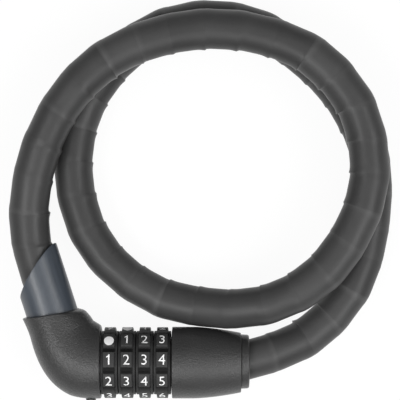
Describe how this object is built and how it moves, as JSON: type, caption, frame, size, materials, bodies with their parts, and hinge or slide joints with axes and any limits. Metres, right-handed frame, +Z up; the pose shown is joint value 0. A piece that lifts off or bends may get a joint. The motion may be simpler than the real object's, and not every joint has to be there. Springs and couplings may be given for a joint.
{
  "type": "combination cable lock",
  "caption": "Combination lock on an armoured cable coiled twice, whose elbow plug pulls out of the barrel once the number dials are set.",
  "frame": {"origin": "centre of the coiled cable's loop, on the surface that the lock lies on", "axes": "+X along the barrel, from the elbow plug to the cable exit; +Y from the barrel across the loop; +Z up"},
  "size_m": [0.1479, 0.1555, 0.0304],
  "materials": {
    "black_moulding": "satin black moulding with a fine grain",
    "dial_plastic": "satin black moulding",
    "numeral_white": "printed white numerals",
    "cable_skin": "satin black skin, shrunk over the armour shells",
    "sleeve_grey": "blue-grey satin sleeve with faint streaks",
    "zinc_casting": "cast, sand-blasted",
    "hardened_steel": "turned, lightly oiled",
    "rope_steel": "twisted wire",
    "ferrule_metal": "crimped",
    "spring_steel": "blued strip",
    "ring_brass": "turned brass"
  },
  "bodies": {
    "barrel": {"barrel_housing": "black_moulding", "anchor_block": "zinc_casting", "core_tube": "hardened_steel", "tube_cross_pin": "hardened_steel", "spacer_rings": "ring_brass", "end_flange": "zinc_casting", "detent_strip": "spring_steel", "end_collar": "black_moulding", "barrel_ferrule": "ferrule_metal", "barrel_ferrule_pin": "hardened_steel", "cable_rope": "rope_steel", "armour_shells": "hardened_steel", "cable_sheath": "cable_skin"},
    "plug": {"elbow_cover": "black_moulding", "elbow_core": "zinc_casting", "plug_pin": "hardened_steel", "plug_pin_dowel": "hardened_steel", "plug_ferrule": "ferrule_metal", "plug_ferrule_pin": "hardened_steel", "strain_sleeve": "sleeve_grey", "index_stud": "black_moulding"},
    "dial_body_1": {"dial_1": "dial_plastic", "code_ring_1": "ring_brass"},
    "dial_body_2": {"dial_2": "dial_plastic", "code_ring_2": "ring_brass"},
    "dial_body_3": {"dial_3": "dial_plastic", "code_ring_3": "ring_brass"},
    "dial_body_4": {"dial_4": "dial_plastic", "code_ring_4": "ring_brass"}
  },
  "joints": [
    {"name": "plug_pull", "type": "slide", "parent": "barrel", "child": "plug", "axis": [-1, 0, 0], "range_m": [0, 0.03], "deforming": ["cable_sheath", "armour_shells", "cable_rope"]},
    {"name": "dial_turn_1", "type": "hinge", "parent": "barrel", "child": "dial_body_1", "pos_m": [-0.03445, -0.0625, 0.0137], "axis": [1, 0, 0], "continuous": true, "deforming": ["detent_strip"]},
    {"name": "dial_turn_2", "type": "hinge", "parent": "barrel", "child": "dial_body_2", "pos_m": [-0.02775, -0.0625, 0.0137], "axis": [1, 0, 0], "continuous": true, "deforming": ["detent_strip"]},
    {"name": "dial_turn_3", "type": "hinge", "parent": "barrel", "child": "dial_body_3", "pos_m": [-0.02105, -0.0625, 0.0137], "axis": [1, 0, 0], "continuous": true, "deforming": ["detent_strip"]},
    {"name": "dial_turn_4", "type": "hinge", "parent": "barrel", "child": "dial_body_4", "pos_m": [-0.01435, -0.0625, 0.0137], "axis": [1, 0, 0], "continuous": true, "deforming": ["detent_strip"]}
  ]
}
